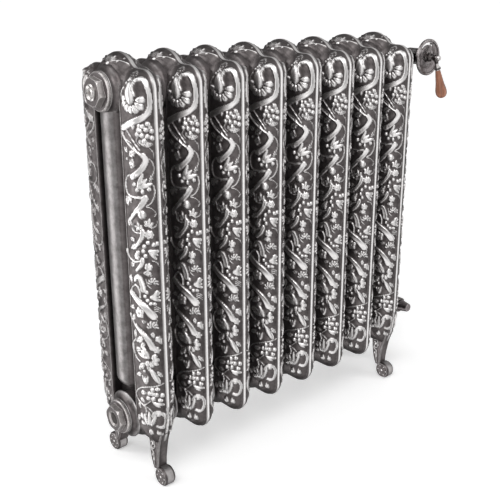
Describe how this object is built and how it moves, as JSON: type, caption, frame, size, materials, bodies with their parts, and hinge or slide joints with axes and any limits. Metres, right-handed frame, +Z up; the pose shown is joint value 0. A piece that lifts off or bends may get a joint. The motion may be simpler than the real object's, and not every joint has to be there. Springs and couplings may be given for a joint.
{
  "type": "cast iron radiator with valve",
  "caption": "Ornate cast-iron column radiator on cabriole legs, with a crank-handled throttle valve, a lockshield valve and an air vent.",
  "frame": {"origin": "on the floor, under the middle of the whole object's box", "axes": "+X along the row of sections towards the valves, -Y is the front that the dial and crank face, +Z up"},
  "size_m": [0.8943, 0.199, 0.788],
  "materials": {
    "burnished_iron": "hand burnished cast iron: dark brown-grey in the hollows, polished silver on the raised ornament, waxed",
    "bush_iron": "burnished, edges polished",
    "malleable_iron": "as cast",
    "gasket": "plain",
    "pewter": "antique pewter plating",
    "dial_pewter": "antique pewter plating, rim polished",
    "cap_pewter": "antique pewter plating",
    "bright_steel": "polished",
    "brass": "plain",
    "wood": "turned hardwood, oiled"
  },
  "bodies": {
    "radiator": {"section_1": "burnished_iron", "section_2": "burnished_iron", "section_3": "burnished_iron", "section_4": "burnished_iron", "section_5": "burnished_iron", "section_6": "burnished_iron", "section_7": "burnished_iron", "section_8": "burnished_iron", "upper_nipples": "malleable_iron", "lower_nipples": "malleable_iron", "upper_section_gaskets": "gasket", "lower_section_gaskets": "gasket", "top_left_bush": "bush_iron", "top_left_bush_gasket": "gasket", "bottom_left_bush": "bush_iron", "bottom_left_bush_gasket": "gasket", "top_right_bush": "bush_iron", "top_right_bush_gasket": "gasket", "bottom_right_bush": "bush_iron", "bottom_right_bush_gasket": "gasket", "air_vent_body": "bright_steel", "top_valve_tail": "pewter", "top_union_nut": "pewter", "top_olive": "brass", "top_compression_nut": "pewter", "lower_valve_tail": "pewter", "lower_union_nut": "pewter", "lower_olive": "brass", "lower_compression_nut": "pewter", "top_valve_body": "pewter", "lower_valve_body": "pewter", "top_valve_bonnet": "pewter", "gland_packing": "gasket", "dial_locknut": "pewter", "gland_nut": "pewter", "dial_plate": "dial_pewter", "lower_valve_bonnet": "pewter"},
    "crank": {"throttle_plug": "brass", "throttle_spindle": "bright_steel", "crank_lever": "pewter", "lever_cap_nut": "bright_steel", "handle_ferrule": "bright_steel", "handle_collar": "pewter", "handle_rod": "bright_steel", "wooden_handle": "wood"},
    "vent_screw": {"air_vent_screw": "bright_steel"},
    "regulator": {"regulating_spindle": "bright_steel"},
    "cap": {"lockshield_cap": "cap_pewter"}
  },
  "joints": [
    {"name": "crank_turn", "type": "hinge", "parent": "radiator", "child": "crank", "pos_m": [0.40845, -0.052, 0.727], "axis": [0, -1, 0], "range_deg": [-16, 66]},
    {"name": "vent_screw_turn", "type": "hinge", "parent": "radiator", "child": "vent_screw", "pos_m": [-0.44155, 0, 0.727], "axis": [-1, 0, 0], "range_deg": [0, 360]},
    {"name": "regulator_turn", "type": "hinge", "parent": "radiator", "child": "regulator", "pos_m": [0.38645, -0.02, 0.124], "axis": [0, -1, 0], "range_deg": [0, 1080]},
    {"name": "cap_pull", "type": "slide", "parent": "radiator", "child": "cap", "axis": [0, -1, 0], "range_m": [0, 0.045]}
  ]
}
